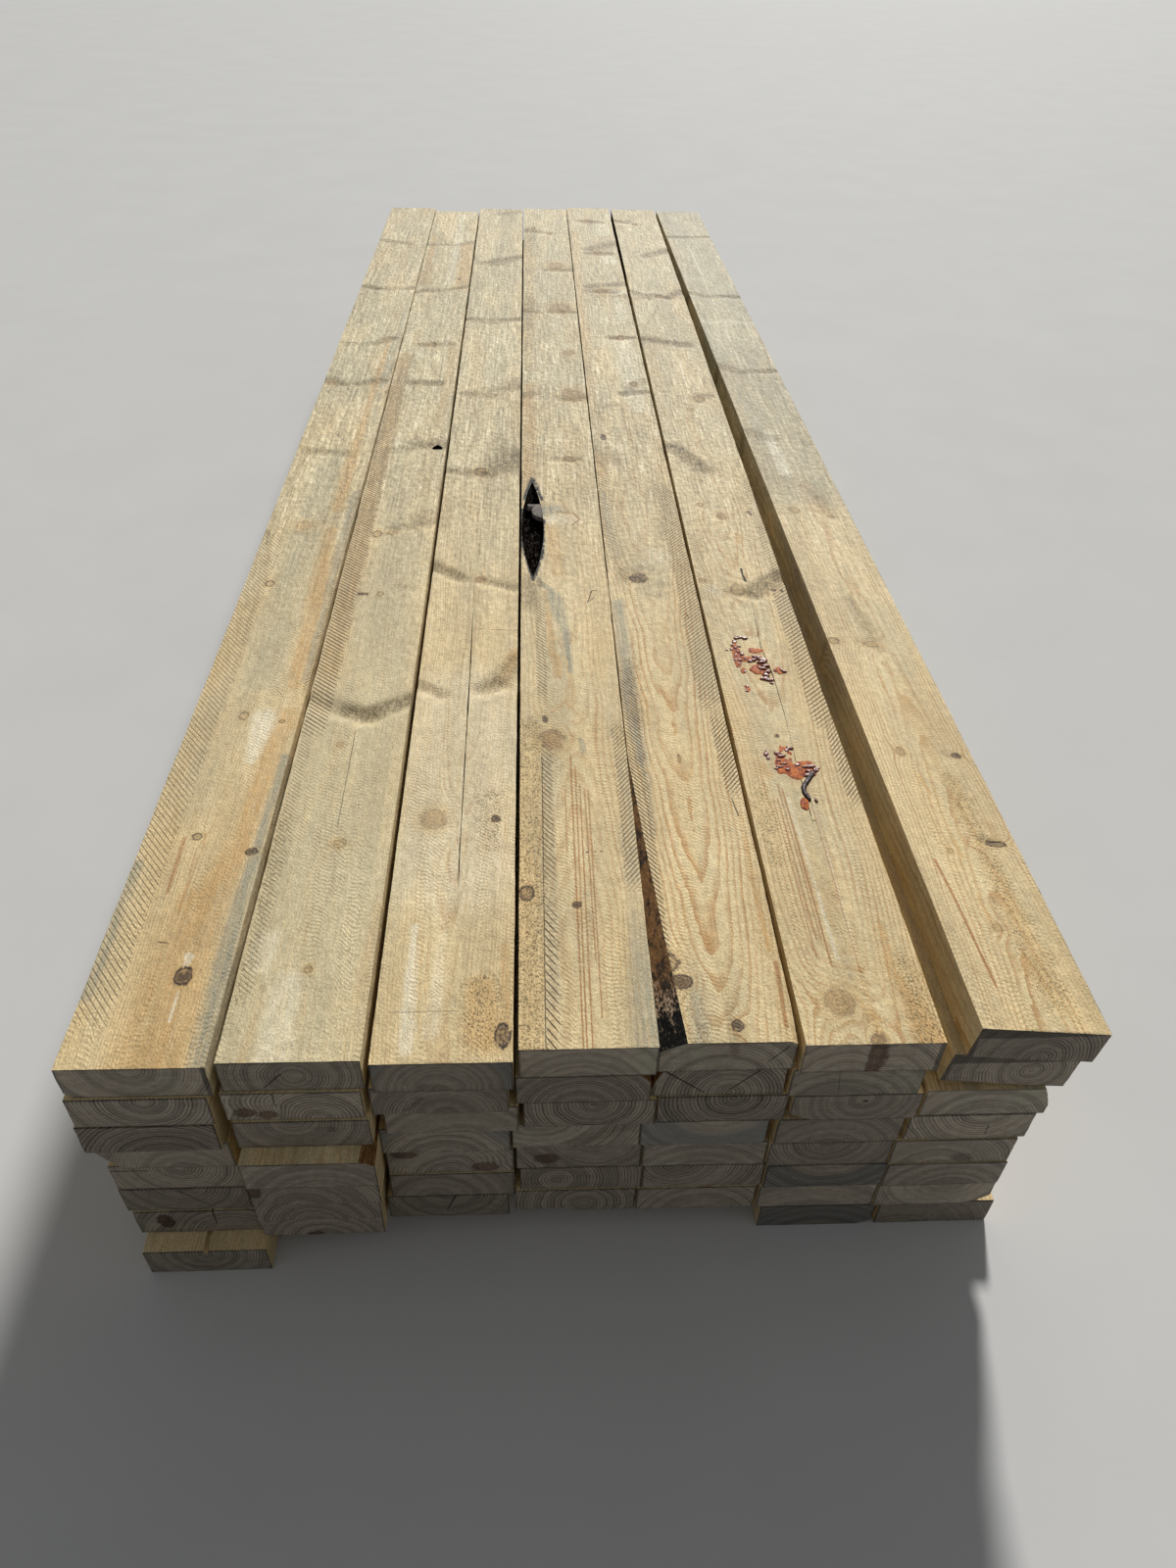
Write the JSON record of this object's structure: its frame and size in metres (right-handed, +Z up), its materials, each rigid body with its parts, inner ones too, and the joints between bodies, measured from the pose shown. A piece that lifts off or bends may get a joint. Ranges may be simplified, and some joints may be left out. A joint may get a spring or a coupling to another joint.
{
  "type": "stack of lumber",
  "caption": "Stack of rough-sawn softwood planks laid flat and tight in tiers, all one way, with ragged ends, waney corners and a bark pocket in the top tier.",
  "frame": {"origin": "middle of the stack's underside", "axes": "+Z up, +Y along the planks away from the front ends, +X across the stack to the right as seen from the front ends"},
  "size_m": [1.1312, 3.696, 0.4146],
  "materials": {
    "sawn_softwood": "rough sawn, unplaned"
  },
  "bodies": {
    "root": {"plank_tier1_1": "sawn_softwood", "plank_tier1_2": "sawn_softwood", "plank_tier1_3": "sawn_softwood", "plank_tier1_4": "sawn_softwood", "plank_tier1_5": "sawn_softwood", "plank_tier1_6": "sawn_softwood", "plank_tier1_7": "sawn_softwood", "plank_tier2_1": "sawn_softwood", "plank_tier2_2": "sawn_softwood", "plank_tier2_3": "sawn_softwood", "plank_tier2_4": "sawn_softwood", "plank_tier2_5": "sawn_softwood", "plank_tier2_6": "sawn_softwood", "plank_tier2_7": "sawn_softwood", "plank_tier3_1": "sawn_softwood", "plank_tier3_2": "sawn_softwood", "plank_tier3_3": "sawn_softwood", "plank_tier3_4": "sawn_softwood", "plank_tier3_5": "sawn_softwood", "plank_tier3_6": "sawn_softwood", "plank_tier3_7": "sawn_softwood", "plank_tier4_1": "sawn_softwood", "plank_tier4_2": "sawn_softwood", "plank_tier4_3": "sawn_softwood", "plank_tier4_4": "sawn_softwood", "plank_tier4_5": "sawn_softwood", "plank_tier4_6": "sawn_softwood", "plank_tier4_7": "sawn_softwood", "plank_tier5_1": "sawn_softwood", "plank_tier5_2": "sawn_softwood", "plank_tier5_3": "sawn_softwood", "plank_tier5_4": "sawn_softwood", "plank_tier5_5": "sawn_softwood", "plank_tier5_6": "sawn_softwood", "plank_tier5_7": "sawn_softwood", "plank_tier6_1": "sawn_softwood", "plank_tier6_2": "sawn_softwood", "plank_tier6_3": "sawn_softwood", "plank_tier6_4": "sawn_softwood", "plank_tier6_5": "sawn_softwood", "plank_tier6_6": "sawn_softwood", "plank_tier6_7": "sawn_softwood", "plank_tier7_1": "sawn_softwood", "plank_tier7_2": "sawn_softwood", "plank_tier7_3": "sawn_softwood", "plank_tier7_4": "sawn_softwood", "plank_tier7_5": "sawn_softwood", "plank_tier7_6": "sawn_softwood", "plank_tier7_7": "sawn_softwood", "plank_tier8_1": "sawn_softwood", "plank_tier8_2": "sawn_softwood", "plank_tier8_3": "sawn_softwood", "plank_tier8_4": "sawn_softwood", "plank_tier8_5": "sawn_softwood", "plank_tier8_6": "sawn_softwood", "plank_tier8_7": "sawn_softwood"}
  },
  "joints": []
}
